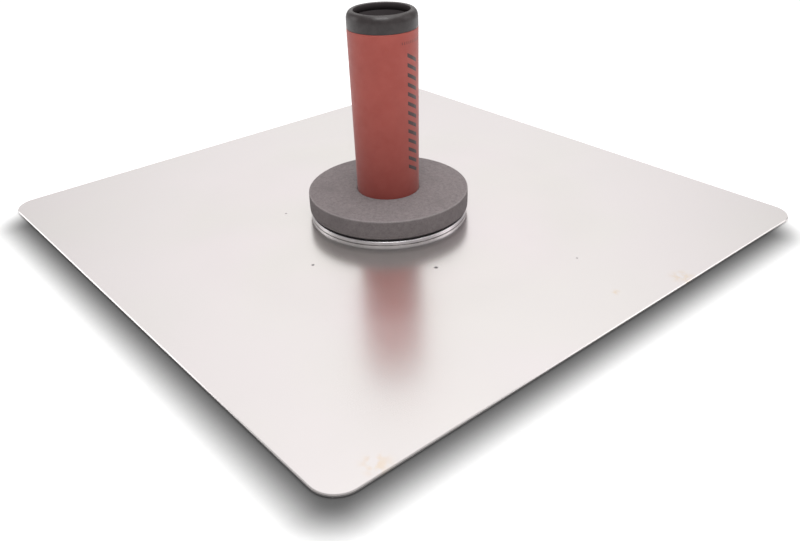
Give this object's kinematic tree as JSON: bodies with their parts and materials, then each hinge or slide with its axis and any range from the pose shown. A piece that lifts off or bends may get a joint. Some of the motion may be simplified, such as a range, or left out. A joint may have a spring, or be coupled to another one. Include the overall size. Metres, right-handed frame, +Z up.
{
  "type": "plasterer's hawk",
  "caption": "Square flat aluminium hawk for carrying plaster or mortar, with a screw-on hollow handle, soft sleeve, foam hand pad and round mounting disc riveted to the blade.",
  "frame": {"origin": "centre of the blade's flat working face, which lies on the surface", "axes": "+Z up the handle from the working face, X and Y along the blade's sides"},
  "size_m": [0.3302, 0.3302, 0.1177],
  "materials": {
    "blade_aluminium": "satin, finely brushed",
    "disc_aluminium": "turned edge, satin",
    "rivet_aluminium": "ground flush",
    "stud_steel": "bright zinc plated",
    "pad_foam": "closed-cell foam, matte",
    "core_plastic": "moulded, fine texture",
    "insert_brass": "machined",
    "sleeve_rubber": "soft touch, matte",
    "collar_rubber": "satin rubber"
  },
  "bodies": {
    "blade_assembly": {"blade": "blade_aluminium", "mounting_disc": "disc_aluminium", "rivets": "rivet_aluminium", "threaded_stud": "stud_steel"},
    "cushion": {"foam_pad": "pad_foam"},
    "handle": {"handle_core": "core_plastic", "threaded_insert": "insert_brass", "grip_sleeve": "sleeve_rubber", "end_collar": "collar_rubber"}
  },
  "joints": [
    {"name": "handle_lift", "type": "slide", "parent": "blade_assembly", "child": "cushion", "axis": [0, 0, 1], "range_m": [0, 0.01563]},
    {"name": "handle_turn", "type": "hinge", "parent": "cushion", "child": "handle", "pos_m": [0, 0, 0.00795], "axis": [0, 0, 1], "range_deg": [0, 2880]}
  ],
  "couplings": [
    {"joint": "handle_lift", "follows": "handle_turn", "m_per_rad": 0.00031096}
  ]
}
